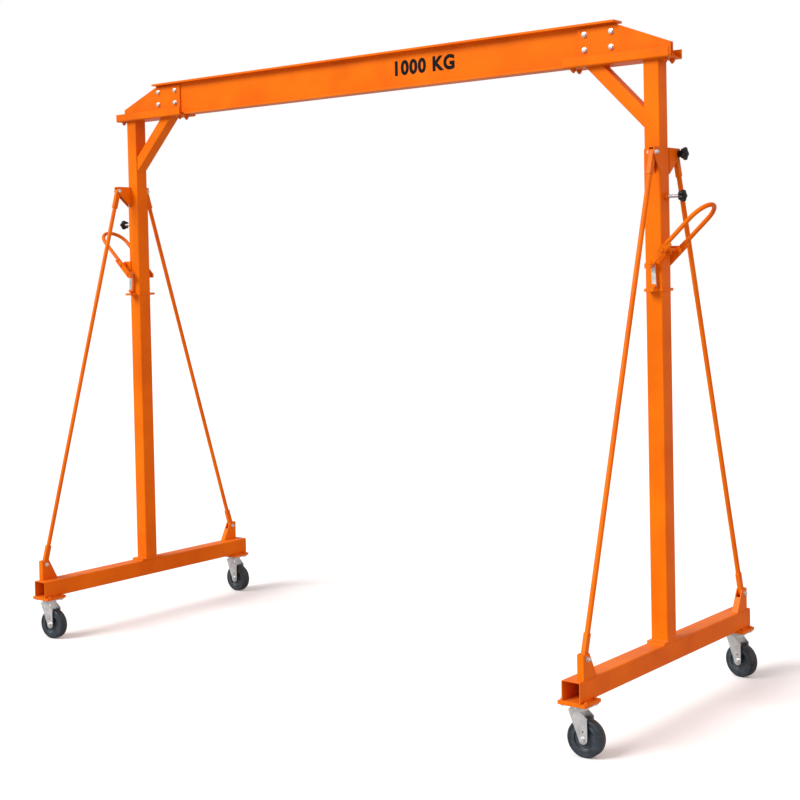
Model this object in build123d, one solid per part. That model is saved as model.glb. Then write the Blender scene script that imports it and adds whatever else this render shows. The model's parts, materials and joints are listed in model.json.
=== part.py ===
from build123d import *
import os
from math import cos, radians, sin

# A portable gantry crane: an I-beam on two telescoping A-legs that roll on swivel casters.
# Millimetres. +X runs along the beam, +Z is up, and the origin is on the floor at the centre.
# Each leg is drawn at +X and mirrored for the other side. There, "out" is the distance from the
# mast's centre line away from the middle of the crane.

# Driving dimensions
MAST_SPACING = 2700
WHEEL_RADIUS = 62.5
WHEEL_WIDTH = 36
CASTER_HEIGHT = 172
CASTER_TRAIL = 24
PAD_THICKNESS = 10
BASE_SIZE = 70
BASE_LENGTH = 1230
BASE_WALL = 3
OUTER_MAST_SIZE = 65
OUTER_MAST_WALL = 2
OUTER_MAST_TOP = 1975
INNER_MAST_SIZE = 60
INNER_MAST_WALL = 3
INNER_MAST_BOTTOM = 300
BEAM_LENGTH = 2410
BEAM_HEIGHT = 150
BEAM_WIDTH = 60
BEAM_WEB = 6
BEAM_FLANGE = 8
BEAM_WELD = 7
BEAM_TOP = 2438
CHANNEL_WIDTH = 100
CHANNEL_HEIGHT = 34
CHANNEL_WALL = 6
CHANNEL_INNER_END = -346
CHANNEL_OUTER_END = 79
KNEE_SIZE = 50
KNEE_ANGLE = 45
KNEE_REACH = 229.5
BRACE_OUT = 22
BRACE_DIAMETER = 18
LONG_PIVOT = (100, 1960)
SHORT_PIVOT = (66, 1960)
LOWER_PIVOT = (568, 318)
LEVER_PIVOT = (53, 1623)
LEVER_ANGLE = 43
LEVER_BEND = 149
LEVER_SPREAD = 66
LINK_ARM = 63
LINK_FOOT = (11, 1500)
COLLAR_BOTTOM = 1480
CLAMP_HEIGHT = 1808

# Clearances
RUNNING_CLEARANCE = 0.08
BOLT_CLEARANCE = 0.4

# Swivel angle of each caster as it stands, in degrees about +Z
CASTER_TURN = {
    "left_front": 7,
    "left_rear": 0,
    "right_front": 4,
    "right_rear": -12,
}

# Derived sizes
MAST_X = MAST_SPACING / 2
BASE_BOTTOM = CASTER_HEIGHT + PAD_THICKNESS
BASE_TOP = BASE_BOTTOM + BASE_SIZE
BEAM_BOTTOM = BEAM_TOP - BEAM_HEIGHT
CHANNEL_BOTTOM = BEAM_BOTTOM - CHANNEL_WALL
BEAM_END = BEAM_LENGTH / 2

BOTTOM_ALIGN = (Align.CENTER, Align.CENTER, Align.MIN)


# ---------------------------------------------------------------- helpers

def block(x_range, y_range, z_range):
    """A box between two corners."""
    size = [high - low for low, high in (x_range, y_range, z_range)]
    corner = Pos(x_range[0], y_range[0], z_range[0])
    return corner * Box(*size, align=(Align.MIN, Align.MIN, Align.MIN))


def plate_facing_x(points, x_range):
    """A flat plate whose outline is given in Y and Z."""
    outline = make_face(Polyline([(0, y, z) for y, z in points], close=True))
    plate = extrude(outline, amount=x_range[1] - x_range[0], dir=(1, 0, 0))
    return Pos(x_range[0], 0, 0) * plate


def plate_facing_y(points, y_range):
    """A flat plate whose outline is given in X and Z."""
    outline = make_face(Polyline([(x, 0, z) for x, z in points], close=True))
    plate = extrude(outline, amount=y_range[1] - y_range[0], dir=(0, 1, 0))
    return Pos(0, y_range[0], 0) * plate


def rod(radius, start, end):
    """A round bar between two points."""
    direction = Vector(*end) - Vector(*start)
    return Plane(origin=start, z_dir=direction) * Cylinder(radius, direction.length, align=BOTTOM_ALIGN)


def hexagon(across_flats, start, end):
    """A hexagonal bar between two points: a bolt head or a nut."""
    direction = Vector(*end) - Vector(*start)
    profile = RegularPolygon(across_flats / 2, 6, major_radius=False)
    return Plane(origin=start, z_dir=direction) * extrude(profile, amount=direction.length)


def square_tube(size, wall, length, corner):
    """A square hollow section standing on the XY plane."""
    outside = RectangleRounded(size, size, corner)
    inside = RectangleRounded(size - 2 * wall, size - 2 * wall, corner - wall)
    return extrude(outside - inside, amount=length)


def bolt(radius, head_face, nut_face, tail=4):
    """A hex bolt with its nut, clamped between two faces."""
    start = Vector(*head_face)
    end = Vector(*nut_face)
    along = (end - start).normalized()
    head_height = 1.28 * radius
    nut_height = 1.6 * radius
    flats = 3.2 * radius
    head = hexagon(flats, start - along * head_height, start)
    nut = hexagon(flats, end, end + along * nut_height)
    shank = rod(radius, start - along, end + along * (nut_height + tail))
    return head + nut + shank


def group(solids):
    """Like pieces kept as separate solids in one node."""
    return Compound(children=list(solids))


def mirrored(shape):
    """The same piece on the left-hand leg."""
    return mirror(shape, about=Plane.YZ)


def both_ways(make):
    """A piece at the front (-Y) and its twin at the rear."""
    rear = make()
    return group([mirror(rear, about=Plane.XZ), rear])


# ---------------------------------------------------------------- beam and heads

WEB_BOLT_X = (1073, 1183)
WEB_BOLT_Z = (2346, 2401)
WEB_BOLT_RADIUS = 6
GUSSET_THICKNESS = 6
GUSSET_FOOT_WIDTH = 43
GUSSET_INNER_END = 1042
HEAD_BOLT_RADIUS = 5
FLANGE_BOLT_OUT = -318
FLANGE_BOLT_Y = 20
FOOT_BOLT_OUT = 55
FOOT_BOLT_Y = 24


def web_bolt_holes():
    """Clearance holes across the web, for the gusset bolts at the right-hand end."""
    radius = WEB_BOLT_RADIUS + BOLT_CLEARANCE
    holes = [rod(radius, (x, -60, z), (x, 60, z)) for x in WEB_BOLT_X for z in WEB_BOLT_Z]
    return holes


def head_bolt_holes():
    """Clearance holes down through the head channel and what is bolted in it."""
    radius = HEAD_BOLT_RADIUS + BOLT_CLEARANCE
    places = [(FLANGE_BOLT_OUT, FLANGE_BOLT_Y), (FOOT_BOLT_OUT, FOOT_BOLT_Y)]
    holes = []
    for out, y in places:
        for side in (-1, 1):
            x = MAST_X + out
            holes.append(rod(radius, (x, side * y, CHANNEL_BOTTOM - 5), (x, side * y, BEAM_BOTTOM + 20)))
    return holes


def i_beam():
    """The beam that the hoist trolley runs on: a web welded between two flat flanges."""
    web_bottom = BEAM_BOTTOM + BEAM_FLANGE
    web_top = BEAM_TOP - BEAM_FLANGE
    length = (-BEAM_END, BEAM_END)
    flange_width = (-BEAM_WIDTH / 2, BEAM_WIDTH / 2)
    lower_flange = block(length, flange_width, (BEAM_BOTTOM, web_bottom))
    web = block(length, (-BEAM_WEB / 2, BEAM_WEB / 2), (web_bottom, web_top))
    upper_flange = block(length, flange_width, (web_top, BEAM_TOP))
    for hole in web_bolt_holes():
        web -= [hole, mirrored(hole)]
    for hole in head_bolt_holes()[:2]:
        lower_flange -= [hole, mirrored(hole)]
    return group([lower_flange, web, upper_flange])


def head_channel():
    """The upward channel welded to the top of the inner mast, which the beam lies in."""
    outside = Pos(0, CHANNEL_HEIGHT / 2) * Rectangle(CHANNEL_WIDTH, CHANNEL_HEIGHT)
    outside = fillet(outside.vertices().group_by(Axis.Y)[0], 7)
    inside = Pos(0, CHANNEL_WALL + CHANNEL_HEIGHT / 2)
    inside = inside * Rectangle(CHANNEL_WIDTH - 2 * CHANNEL_WALL, CHANNEL_HEIGHT)
    section = Plane.YZ * (outside - inside)
    length = CHANNEL_OUTER_END - CHANNEL_INNER_END
    channel = extrude(section, amount=length, dir=(1, 0, 0))
    channel = Pos(MAST_X + CHANNEL_INNER_END, 0, CHANNEL_BOTTOM) * channel
    for hole in head_bolt_holes():
        channel -= hole
    return channel


def web_gusset():
    """One plate that joins the web to the head over the mast, and the foot welded along it."""
    side = BEAM_WEB / 2
    root = BEAM_BOTTOM + BEAM_FLANGE + BEAM_WELD
    top = BEAM_TOP - BEAM_FLANGE - BEAM_WELD
    clear_of_beam = BEAM_END + 4
    outer_end = MAST_X + 67
    outline = [
        (GUSSET_INNER_END, root),
        (GUSSET_INNER_END, top),
        (BEAM_END + 2, top),
        (outer_end, 2340),
        (outer_end, BEAM_BOTTOM),
        (clear_of_beam, BEAM_BOTTOM),
        (clear_of_beam, root),
    ]
    plate = plate_facing_y(outline, (side, side + GUSSET_THICKNESS))
    foot_top = BEAM_BOTTOM + GUSSET_THICKNESS
    foot_width = (side + GUSSET_THICKNESS, GUSSET_FOOT_WIDTH)
    foot = block((clear_of_beam, outer_end), foot_width, (BEAM_BOTTOM, foot_top))
    for hole in web_bolt_holes():
        plate -= hole
    for hole in head_bolt_holes():
        foot -= hole
    return [plate, foot]


def web_gussets():
    """The pair of gussets at the right-hand end."""
    rear = web_gusset()
    return group([mirror(one, about=Plane.XZ) for one in rear] + rear)


def web_bolts():
    """Bolts through the gussets and the web, at both ends of the beam."""
    face = BEAM_WEB / 2 + GUSSET_THICKNESS
    right = [
        bolt(WEB_BOLT_RADIUS, (x, -face, z), (x, face, z))
        for x in WEB_BOLT_X
        for z in WEB_BOLT_Z
    ]
    return group(right + [mirrored(one) for one in right])


def head_bolts():
    """Bolts down through the beam's flange and the gusset feet, with nuts under the channel."""
    right = []
    for side in (-1, 1):
        x = MAST_X + FLANGE_BOLT_OUT
        y = side * FLANGE_BOLT_Y
        right.append(bolt(HEAD_BOLT_RADIUS, (x, y, BEAM_BOTTOM + BEAM_FLANGE), (x, y, CHANNEL_BOTTOM)))
        x = MAST_X + FOOT_BOLT_OUT
        y = side * FOOT_BOLT_Y
        right.append(bolt(HEAD_BOLT_RADIUS, (x, y, BEAM_BOTTOM + GUSSET_THICKNESS), (x, y, CHANNEL_BOTTOM)))
    return group(right + [mirrored(one) for one in right])


def inner_mast():
    """The upper, sliding part of the mast, welded under the head channel."""
    length = CHANNEL_BOTTOM - INNER_MAST_BOTTOM
    tube = square_tube(INNER_MAST_SIZE, INNER_MAST_WALL, length, 3.5)
    return Pos(MAST_X, 0, INNER_MAST_BOTTOM) * tube


def knee_brace():
    """The square strut between the head channel and the inner mast, mitred at both ends."""
    slope = radians(KNEE_ANGLE)
    top = Vector(MAST_X - KNEE_REACH, 0, CHANNEL_BOTTOM)
    direction = Vector(cos(slope), 0, -sin(slope))
    start = top - direction * 120
    tube = square_tube(KNEE_SIZE, 3, 560, 5)
    strut = Plane(origin=start, x_dir=(0, 1, 0), z_dir=direction) * tube
    mast_face = MAST_X - INNER_MAST_SIZE / 2
    room = block((MAST_X - 500, mast_face), (-60, 60), (CHANNEL_BOTTOM - 400, CHANNEL_BOTTOM))
    return strut & room


# ---------------------------------------------------------------- lower leg

def base_tube():
    """The open-ended foot of a leg, lying across the beam's direction."""
    tube = square_tube(BASE_SIZE, BASE_WALL, BASE_LENGTH, 6)
    lying = Rot(-90, 0, 0) * tube
    return Pos(MAST_X, -BASE_LENGTH / 2, BASE_BOTTOM + BASE_SIZE / 2) * lying


CASTER_Y = BASE_LENGTH / 2 - 50
PAD_WIDTH = 106
PAD_LENGTH = 100
CASTER_BOLT_X = 43
CASTER_BOLT_Y = 30
CASTER_BOLT_RADIUS = 4
CASTER_PLATE_THICKNESS = 4


def caster_bolt_places(x):
    """Where the four bolts of the rear caster stand."""
    return [(x + i * CASTER_BOLT_X, CASTER_Y + j * CASTER_BOLT_Y) for i in (-1, 1) for j in (-1, 1)]


def caster_bolt_holes(x):
    """Clearance holes through a caster pad and its plate."""
    radius = CASTER_BOLT_RADIUS + BOLT_CLEARANCE
    return [rod(radius, (px, py, CASTER_HEIGHT - 20), (px, py, BASE_BOTTOM + 9))
            for px, py in caster_bolt_places(x)]


def caster_pad():
    """The welded plate under the end of the foot, which the caster is bolted to."""
    pad = Box(PAD_WIDTH, PAD_LENGTH, PAD_THICKNESS, align=BOTTOM_ALIGN)
    pad = fillet(pad.edges().filter_by(Axis.Z), 5)
    pad = Pos(MAST_X, CASTER_Y, CASTER_HEIGHT) * pad
    for hole in caster_bolt_holes(MAST_X):
        pad -= hole
    return pad


def caster_bolts():
    """The eight bolts that hold the two casters of a leg."""
    underside = CASTER_HEIGHT - CASTER_PLATE_THICKNESS
    return both_ways_of([
        bolt(CASTER_BOLT_RADIUS, (x, y, BASE_BOTTOM), (x, y, underside), tail=2)
        for x, y in caster_bolt_places(MAST_X)
    ])


def both_ways_of(rear_pieces):
    """Rear pieces with their twins at the front."""
    return group([mirror(piece, about=Plane.XZ) for piece in rear_pieces] + list(rear_pieces))


FOOT_PLATE_LENGTH = 118
FOOT_PLATE_THICKNESS = 8
BOSS_FLATS = 22
BOSS_LENGTH = 12
STUD_RADIUS = 6


def outer_mast():
    """The fixed part of the mast, with its foot plate and the welded boss of the clamp screw."""
    plate = Box(BASE_SIZE, FOOT_PLATE_LENGTH, FOOT_PLATE_THICKNESS, align=BOTTOM_ALIGN)
    plate = Pos(MAST_X, 0, BASE_TOP) * plate
    bottom = BASE_TOP + FOOT_PLATE_THICKNESS
    tube = square_tube(OUTER_MAST_SIZE, OUTER_MAST_WALL, OUTER_MAST_TOP - bottom, 5)
    tube = Pos(MAST_X, 0, bottom) * tube
    face = MAST_X + OUTER_MAST_SIZE / 2
    boss = hexagon(BOSS_FLATS, (face, 0, CLAMP_HEIGHT), (face + BOSS_LENGTH, 0, CLAMP_HEIGHT))
    bore = rod(STUD_RADIUS + RUNNING_CLEARANCE, (face - 10, 0, CLAMP_HEIGHT), (face + 20, 0, CLAMP_HEIGHT))
    return group([plate, tube - bore, boss - bore])


BRACKET_WIDTH = 24
BRACKET_WALL = 3.5
BRACE_BOLT_RADIUS = 5
BRACKET_X = (MAST_X + BRACE_OUT - BRACKET_WIDTH / 2, MAST_X + BRACE_OUT + BRACKET_WIDTH / 2)


def bracket_cheeks(outline):
    """The two side walls of a pressed bracket."""
    low, high = BRACKET_X
    inner = plate_facing_x(outline, (low, low + BRACKET_WALL))
    outer = plate_facing_x(outline, (high - BRACKET_WALL, high))
    return inner + outer


def brace_bolt_hole(pivot):
    """The clearance hole across a bracket for a brace bolt."""
    y, z = pivot
    return rod(BRACE_BOLT_RADIUS + BOLT_CLEARANCE, (MAST_X - 40, y, z), (MAST_X + 80, y, z))


def upper_bracket(pivot):
    """The pressed bracket high on the outer mast, which the top of a brace hangs in."""
    wall_face = OUTER_MAST_SIZE / 2
    tip = pivot[0] + 10
    top = pivot[1] + 19
    outline = [
        (wall_face, top - 92),
        (wall_face, top),
        (tip, top),
        (tip, top - 27),
    ]
    lid = block(BRACKET_X, (wall_face, tip), (top - BRACKET_WALL, top))
    return bracket_cheeks(outline) + lid - brace_bolt_hole(pivot)


def lower_bracket():
    """The pressed bracket on top of the foot, which the bottom of a brace stands in."""
    y, z = LOWER_PIVOT
    end = y + 22
    toe = y - 58
    outline = [
        (end, BASE_TOP),
        (end, z + 17),
        (y - 15, z + 17),
        (toe, BASE_TOP),
    ]
    end_wall = block(BRACKET_X, (end - BRACKET_WALL, end), (BASE_TOP, z + 17))
    slope_wall = plate_facing_x([
        (toe, BASE_TOP),
        (toe + 1.25 * BRACKET_WALL, BASE_TOP),
        (y - 30 + 1.25 * BRACKET_WALL, z - 12),
        (y - 30, z - 12),
    ], BRACKET_X)
    return bracket_cheeks(outline) + end_wall + slope_wall - brace_bolt_hole(LOWER_PIVOT)


BRACE_END_LENGTH = 82
BRACE_END_DEPTH = 22
BRACE_END_THICKNESS = 15


def brace(upper_pivot):
    """A round strut with a pressed end at each pivot."""
    x = MAST_X + BRACE_OUT
    low = Vector(x, *LOWER_PIVOT)
    high = Vector(x, *upper_pivot)
    lap = (high - low).normalized() * (BRACE_END_LENGTH - 12)
    strut = rod(BRACE_DIAMETER / 2, low + lap, high - lap)
    for pivot, other in ((low, high), (high, low)):
        end_plane = Plane(origin=pivot, x_dir=(1, 0, 0), z_dir=other - pivot)
        end = Box(BRACE_END_THICKNESS, BRACE_END_DEPTH, BRACE_END_LENGTH, align=BOTTOM_ALIGN)
        strut += end_plane * end
        half = Vector(BRACE_END_THICKNESS / 2, 0, 0)
        strut += rod(BRACE_END_DEPTH / 2, pivot - half, pivot + half)
    return strut - brace_bolt_hole(LOWER_PIVOT) - brace_bolt_hole(upper_pivot)


BRACE_KNOB_START = 34.5
BRACE_KNOB_NECK = 16
BRACE_KNOB_GRIP = 14


def brace_bolts(front_pivot, rear_pivot):
    """The plain bolts of three brace pivots, and the long one that the star nut turns on."""
    low, high = BRACKET_X
    bolts = []
    for side, pivot in ((-1, LOWER_PIVOT), (1, LOWER_PIVOT), (-1, front_pivot)):
        y = side * pivot[0]
        bolts.append(bolt(BRACE_BOLT_RADIUS, (low, y, pivot[1]), (high, y, pivot[1])))
    y, z = rear_pivot
    head = hexagon(17, (low - 6.4, y, z), (low, y, z))
    stud_end = MAST_X + BRACE_KNOB_START + BRACE_KNOB_NECK + BRACE_KNOB_GRIP - 6
    bolts.append(head + rod(BRACE_BOLT_RADIUS, (low - 1, y, z), (stud_end, y, z)))
    return group(bolts)


def star_knob(lobe_circle, neck_length, grip_depth, bore_radius):
    """A five-lobed moulded grip, on a neck if it has one, standing along +X from the origin."""
    grip = Circle(lobe_circle)
    for turn in range(5):
        grip += Rot(0, 0, 72 * turn + 18) * Pos(lobe_circle, 0) * Circle(0.42 * lobe_circle)
    grip = extrude(Pos(0, 0, neck_length) * grip, amount=grip_depth)
    grip = fillet(grip.edges().group_by(Axis.Z)[-1], 3)
    if neck_length > 0:
        grip += Cylinder(0.65 * lobe_circle, neck_length, align=BOTTOM_ALIGN)
    grip -= Cylinder(bore_radius, neck_length + grip_depth - 5, align=BOTTOM_ALIGN)
    return Plane(origin=(0, 0, 0), x_dir=(0, 1, 0), z_dir=(1, 0, 0)) * grip


def brace_knob(pivot):
    """The star nut on the rear upper brace pivot."""
    bore = BRACE_BOLT_RADIUS + RUNNING_CLEARANCE
    knob = star_knob(17, BRACE_KNOB_NECK, BRACE_KNOB_GRIP, bore)
    y, z = pivot
    return Pos(MAST_X + BRACE_KNOB_START, y, z) * knob


CLAMP_KNOB_START = 90
CLAMP_KNOB_GRIP = 19
CLAMP_TIP_GAP = 0.8


def clamp_screw():
    """The steel screw that presses on the inner mast; its tip stands just off it."""
    tip = MAST_X + INNER_MAST_SIZE / 2 + CLAMP_TIP_GAP
    end = MAST_X + CLAMP_KNOB_START + CLAMP_KNOB_GRIP - 5
    return rod(STUD_RADIUS, (tip, 0, CLAMP_HEIGHT), (end, 0, CLAMP_HEIGHT))


def clamp_knob():
    """The star grip pressed on the clamp screw."""
    knob = star_knob(15.5, 0, CLAMP_KNOB_GRIP, STUD_RADIUS)
    return Pos(MAST_X + CLAMP_KNOB_START, 0, CLAMP_HEIGHT) * knob


# ---------------------------------------------------------------- lever jack

PIN_RADIUS = 6
LINK_PIN_RADIUS = 4
EAR_THICKNESS = 5
ARM_THICKNESS = 8
ARM_DEPTH = 24
ARM_LOW_CUT = 1560
ARM_INNER_CUT = -15
LINK_THICKNESS = 4
LINK_WIDTH = 16
LINK_INSIDE = 46
LINK_PLAY = 1.9
HANDLE_BAR_RADIUS = 8
HANDLE_BAR_RISE = ARM_DEPTH / 2 - HANDLE_BAR_RADIUS
MAST_FACE = OUTER_MAST_SIZE / 2
EAR_OUTSIDE = MAST_FACE + EAR_THICKNESS
ARM_INSIDE = LEVER_SPREAD - ARM_THICKNESS / 2
ARM_OUTSIDE = LEVER_SPREAD + ARM_THICKNESS / 2


def lever_plane():
    """Local X runs up the handle from the pivot, and local Y across the mast."""
    slope = radians(LEVER_ANGLE)
    origin = (MAST_X + LEVER_PIVOT[0], 0, LEVER_PIVOT[1])
    return Plane(origin=origin, x_dir=(cos(slope), 0, sin(slope)), z_dir=(-sin(slope), 0, cos(slope)))


def link_head():
    """The pivot between the lever and the links, as an (out, up) pair."""
    slope = radians(LEVER_ANGLE)
    return (LEVER_PIVOT[0] - LINK_ARM * cos(slope), LEVER_PIVOT[1] - LINK_ARM * sin(slope))


def lever_ear():
    """One plate welded to a side face of the mast, for the lever's pin."""
    out, up = LEVER_PIVOT
    outline = [
        (MAST_X + 27, 1580),
        (MAST_X + 20, 1600),
        (MAST_X + 20, 1637),
        (MAST_X + out + 10, 1637),
        (MAST_X + out + 19, 1626),
        (MAST_X + out + 19, 1608),
        (MAST_X + MAST_FACE, 1580),
    ]
    ear = plate_facing_y(outline, (MAST_FACE, EAR_OUTSIDE))
    x = MAST_X + out
    return ear - rod(PIN_RADIUS + 0.1, (x, 0, up), (x, 60, up))


def lever_ears():
    """The pair of ears."""
    return both_ways(lever_ear)


def lever_pin():
    """The headed pin that the lever turns on, with a spacer between each ear and arm."""
    x = MAST_X + LEVER_PIVOT[0]
    z = LEVER_PIVOT[1]
    head_face = ARM_OUTSIDE + 0.5
    pin = rod(PIN_RADIUS, (x, -head_face - 1, z), (x, head_face + 1, z))
    for side in (-1, 1):
        pin += rod(PIN_RADIUS + 3, (x, side * EAR_OUTSIDE, z), (x, side * (ARM_INSIDE - 0.5), z))
        pin += rod(PIN_RADIUS + 3, (x, side * head_face, z), (x, side * (head_face + 3), z))
    return pin


def lever_arm():
    """One flat arm of the lever, cut off level below and upright at its inner end."""
    outer_end = 38
    slope = radians(LEVER_ANGLE)
    pivot_x = MAST_X + LEVER_PIVOT[0]
    bar = Box(140 + outer_end, ARM_THICKNESS, ARM_DEPTH, align=(Align.MIN, Align.CENTER, Align.CENTER))
    bar = lever_plane() * Pos(-140, LEVER_SPREAD, 0) * bar
    room_x = (MAST_X + ARM_INNER_CUT, pivot_x + 100)
    room = block(room_x, (ARM_INSIDE - 5, ARM_OUTSIDE + 5), (ARM_LOW_CUT, ARM_LOW_CUT + 240))
    arm = bar & room
    for along, radius in ((0, PIN_RADIUS + RUNNING_CLEARANCE), (-LINK_ARM, LINK_PIN_RADIUS)):
        x = pivot_x + along * cos(slope)
        z = LEVER_PIVOT[1] + along * sin(slope)
        arm -= rod(radius, (x, ARM_INSIDE - 2, z), (x, ARM_OUTSIDE + 2, z))
    return arm


def lever_handle():
    """The round bar of the handle: two straight runs and a half-round end."""
    root = 26
    spread = LEVER_SPREAD
    bend = LEVER_BEND
    path = Wire([
        Edge.make_line((root, -spread, 0), (bend, -spread, 0)),
        Edge.make_three_point_arc((bend, -spread, 0), (bend + spread, 0, 0), (bend, spread, 0)),
        Edge.make_line((bend, spread, 0), (root, spread, 0)),
    ])
    section = Plane(origin=(root, -spread, 0), z_dir=(1, 0, 0)) * Circle(HANDLE_BAR_RADIUS)
    return lever_plane() * Pos(0, 0, HANDLE_BAR_RISE) * sweep(section, path=path)


def jack_lever():
    """The hand lever: two flat arms outside the mast, welded to the bent handle bar."""
    arm = lever_arm()
    return lever_handle() + arm + mirror(arm, about=Plane.XZ)


def jack_link():
    """A flat steel link between the lever and the collar; its lower hole has play."""
    y_range = (LINK_INSIDE, LINK_INSIDE + LINK_THICKNESS)
    ends = [(MAST_X + out, up) for out, up in (link_head(), LINK_FOOT)]
    run = Vector(ends[1][0] - ends[0][0], 0, ends[1][1] - ends[0][1])
    across = Vector(run.Z, 0, -run.X).normalized() * (LINK_WIDTH / 2)
    outline = [
        (ends[0][0] + across.X, ends[0][1] + across.Z),
        (ends[1][0] + across.X, ends[1][1] + across.Z),
        (ends[1][0] - across.X, ends[1][1] - across.Z),
        (ends[0][0] - across.X, ends[0][1] - across.Z),
    ]
    link = plate_facing_y(outline, y_range)
    holes = (LINK_PIN_RADIUS + RUNNING_CLEARANCE, LINK_PIN_RADIUS + LINK_PLAY)
    for x, z in ends:
        link += rod(LINK_WIDTH / 2, (x, y_range[0], z), (x, y_range[1], z))
    for (x, z), radius in zip(ends, holes):
        link -= rod(radius, (x, 0, z), (x, 60, z))
    return link


def jack_links():
    """The pair of links, one on each side of the mast."""
    return both_ways(jack_link)


def link_pin():
    """The headed pin that joins an arm of the lever to its link."""
    out, up = link_head()
    x = MAST_X + out
    shank = rod(LINK_PIN_RADIUS, (x, LINK_INSIDE - 4, up), (x, ARM_OUTSIDE + 1, up))
    spacer = rod(LINK_PIN_RADIUS + 2.5, (x, LINK_INSIDE + LINK_THICKNESS + 0.5, up), (x, ARM_INSIDE, up))
    inner_head = rod(LINK_PIN_RADIUS + 2.5, (x, LINK_INSIDE - 4, up), (x, LINK_INSIDE - 0.5, up))
    outer_head = rod(LINK_PIN_RADIUS + 2.5, (x, ARM_OUTSIDE, up), (x, ARM_OUTSIDE + 3, up))
    return shank + spacer + inner_head + outer_head


def link_pins():
    """The two link pins."""
    return both_ways(link_pin)


COLLAR_HEIGHT = 10
COLLAR_STRAP = 3
COLLAR_REACH = 73
COLLAR_GAP = 0.4
TAB_INSIDE = 41
TAB_THICKNESS = 4.4


def collar_side():
    """The lug on one side of the collar, with its tab and the stud that the link hangs on."""
    top = COLLAR_BOTTOM + COLLAR_HEIGHT
    x = MAST_X + LINK_FOOT[0]
    z = LINK_FOOT[1]
    tab_face = TAB_INSIDE + TAB_THICKNESS
    link_outside = LINK_INSIDE + LINK_THICKNESS
    lug = block((MAST_X - 16, MAST_X + 19), (MAST_FACE + COLLAR_GAP, COLLAR_REACH), (COLLAR_BOTTOM, top))
    tab = block((x - 8, x + 8), (TAB_INSIDE, tab_face), (top - 1, z))
    tab += rod(8, (x, TAB_INSIDE, z), (x, tab_face, z))
    stud = rod(LINK_PIN_RADIUS, (x, TAB_INSIDE, z), (x, link_outside + 1, z))
    head = hexagon(13, (x, link_outside + 0.5, z), (x, link_outside + 6, z))
    return lug + tab + stud + head


def jack_collar():
    """The strap around the outer mast that the links push on."""
    inside = OUTER_MAST_SIZE + 2 * COLLAR_GAP
    outside = inside + 2 * COLLAR_STRAP
    ring = RectangleRounded(outside, outside, 8) - RectangleRounded(inside, inside, 4.5)
    ring = Pos(MAST_X, 0, COLLAR_BOTTOM) * extrude(ring, amount=COLLAR_HEIGHT)
    side = collar_side()
    return ring + side + mirror(side, about=Plane.XZ)


# ---------------------------------------------------------------- casters

RACE_RADIUS = 31
CROWN_TOP = 160.4
AXLE_RADIUS = 5
FORK_HALF_GAP = 22
FORK_WALL = 4
KING_PIN_RADIUS = 6


def caster_plate():
    """The top plate of a caster, with its upper race and king pin, on the Z axis."""
    underside = CASTER_HEIGHT - CASTER_PLATE_THICKNESS
    plate = Pos(0, 0, underside) * Box(104, 84, CASTER_PLATE_THICKNESS, align=BOTTOM_ALIGN)
    plate = fillet(plate.edges().filter_by(Axis.Z), 6)
    for i in (-1, 1):
        for j in (-1, 1):
            place = Pos(i * CASTER_BOLT_X, j * CASTER_BOLT_Y, underside - 1)
            plate -= place * Cylinder(CASTER_BOLT_RADIUS + BOLT_CLEARANCE, 10, align=BOTTOM_ALIGN)
    race_bottom = CROWN_TOP + 0.5
    race = Pos(0, 0, race_bottom) * Cylinder(RACE_RADIUS, underside - race_bottom, align=BOTTOM_ALIGN)
    race = fillet(race.edges().group_by(Axis.Z)[0], 2)
    king_pin = Pos(0, 0, 146) * Cylinder(KING_PIN_RADIUS, 18, align=BOTTOM_ALIGN)
    king_head = Pos(0, 0, 146) * Cylinder(10, 3.5, align=BOTTOM_ALIGN)
    return plate + race + king_pin + king_head


def caster_fork():
    """The pressed fork with its lower race, trailing towards +X from the Z axis."""
    crown_bottom = 150
    leg = [
        (-27, crown_bottom + 3),
        (12, crown_bottom + 3),
        (39.4, 130),
        (39.4, WHEEL_RADIUS),
        (8.6, WHEEL_RADIUS),
    ]
    y_range = (FORK_HALF_GAP, FORK_HALF_GAP + FORK_WALL)
    cheek = plate_facing_y(leg, y_range)
    axle_end = [(CASTER_TRAIL, y, WHEEL_RADIUS) for y in y_range]
    cheek += rod(15.4, *axle_end)
    hole = rod(AXLE_RADIUS + 0.1, (CASTER_TRAIL, 0, WHEEL_RADIUS), (CASTER_TRAIL, 60, WHEEL_RADIUS))
    cheek -= hole
    cheek -= rod(3, (CASTER_TRAIL, 0, WHEEL_RADIUS + 25), (CASTER_TRAIL, 60, WHEEL_RADIUS + 25))
    crown = block((-27, 14), (-FORK_HALF_GAP - FORK_WALL, FORK_HALF_GAP + FORK_WALL),
                  (crown_bottom, crown_bottom + FORK_WALL))
    race_bottom = crown_bottom + 1
    race = Cylinder(RACE_RADIUS - 2, CROWN_TOP - race_bottom, align=BOTTOM_ALIGN)
    race = Pos(0, 0, race_bottom) * race
    race = fillet(race.edges().group_by(Axis.Z)[-1], 2)
    fork = crown + race + cheek + mirror(cheek, about=Plane.XZ)
    return fork - Pos(0, 0, 140) * Cylinder(KING_PIN_RADIUS + RUNNING_CLEARANCE, 40, align=BOTTOM_ALIGN)


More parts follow.
